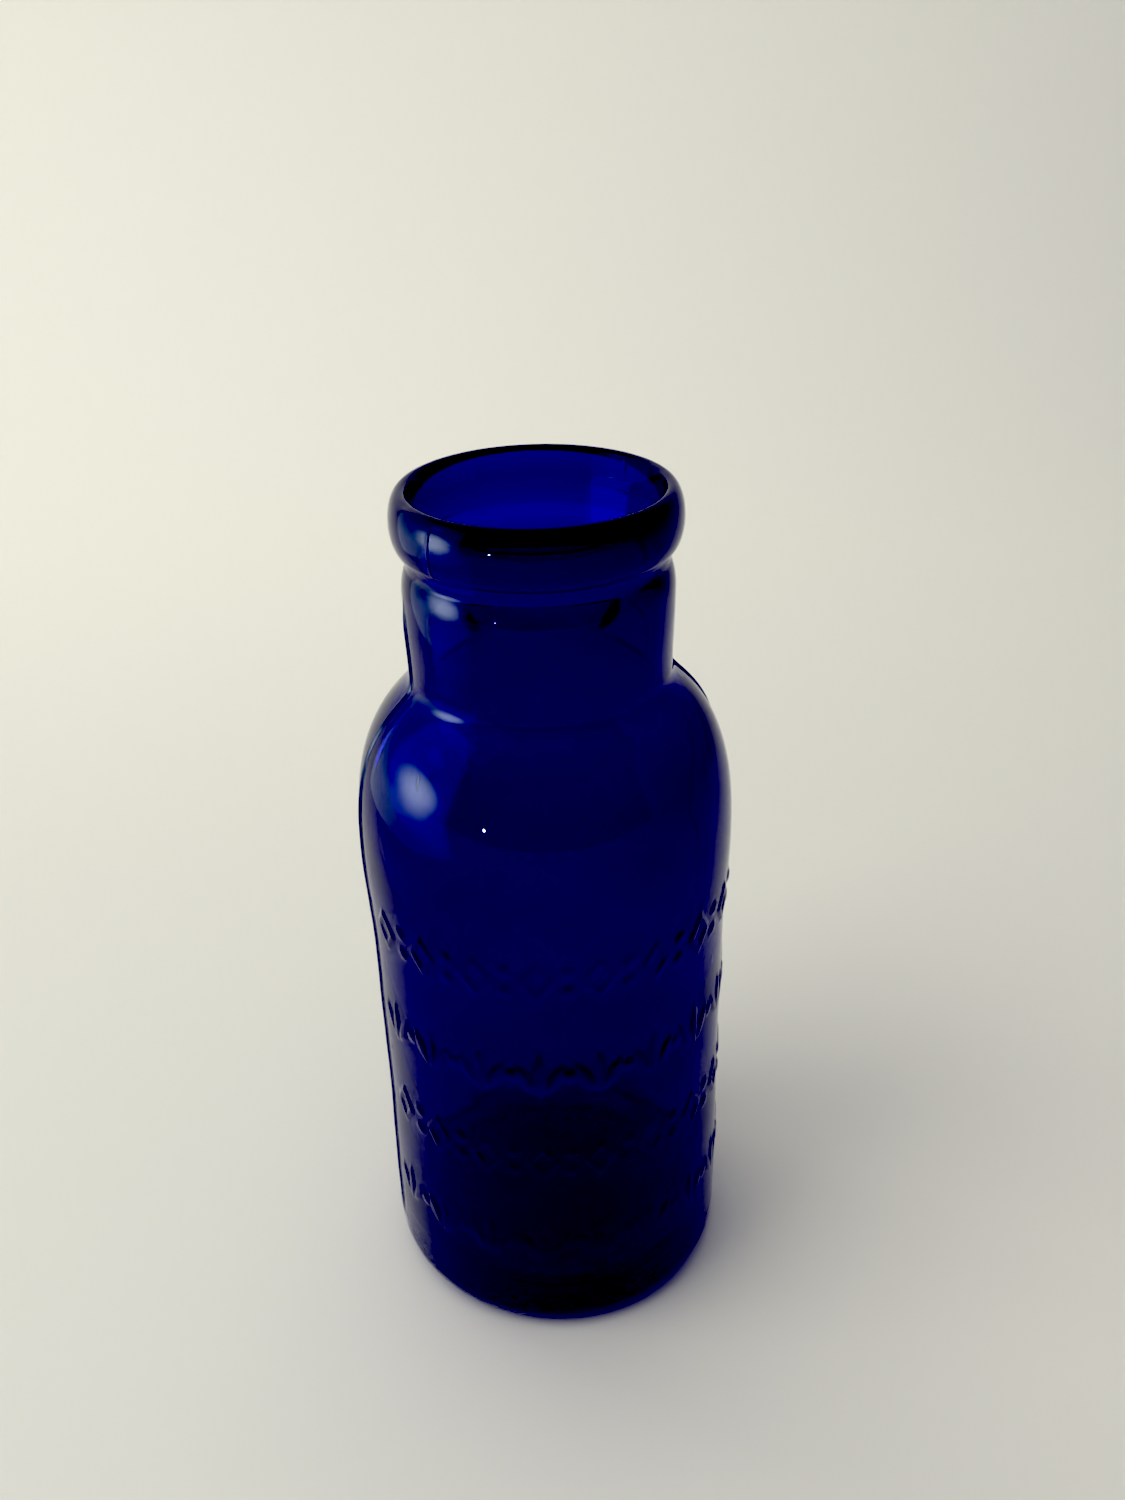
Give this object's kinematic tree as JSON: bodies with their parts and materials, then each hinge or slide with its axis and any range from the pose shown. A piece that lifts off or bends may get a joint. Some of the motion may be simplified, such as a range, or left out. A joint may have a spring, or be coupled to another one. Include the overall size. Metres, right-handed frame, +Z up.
{
  "type": "glass bottle",
  "caption": "Antique cobalt-blue glass medicine bottle with a cylindrical body, round shoulder, wide neck, heavy rolled lip and bands of raised ornament.",
  "frame": {"origin": "middle of the flat ring that the bottle rests on, on the bottle's axis", "axes": "+Z up along the bottle's axis, the decorated side faces -Y, the body mould's seams lie at +X and -X"},
  "size_m": [0.0538, 0.0534, 0.127],
  "materials": {
    "cobalt_glass": "cobalt-blue bottle glass, clear through, glossy and slightly wavy"
  },
  "bodies": {
    "root": {"lip_bead": "cobalt_glass", "lip_seams": "cobalt_glass", "finish_collar": "cobalt_glass", "neck": "cobalt_glass", "shoulder": "cobalt_glass", "body_wall": "cobalt_glass", "heel": "cobalt_glass", "base": "cobalt_glass", "heel_seam": "cobalt_glass", "seam_left": "cobalt_glass", "seam_right": "cobalt_glass", "relief_row_1": "cobalt_glass", "relief_row_2": "cobalt_glass", "relief_row_3": "cobalt_glass", "relief_row_4": "cobalt_glass"}
  },
  "joints": []
}
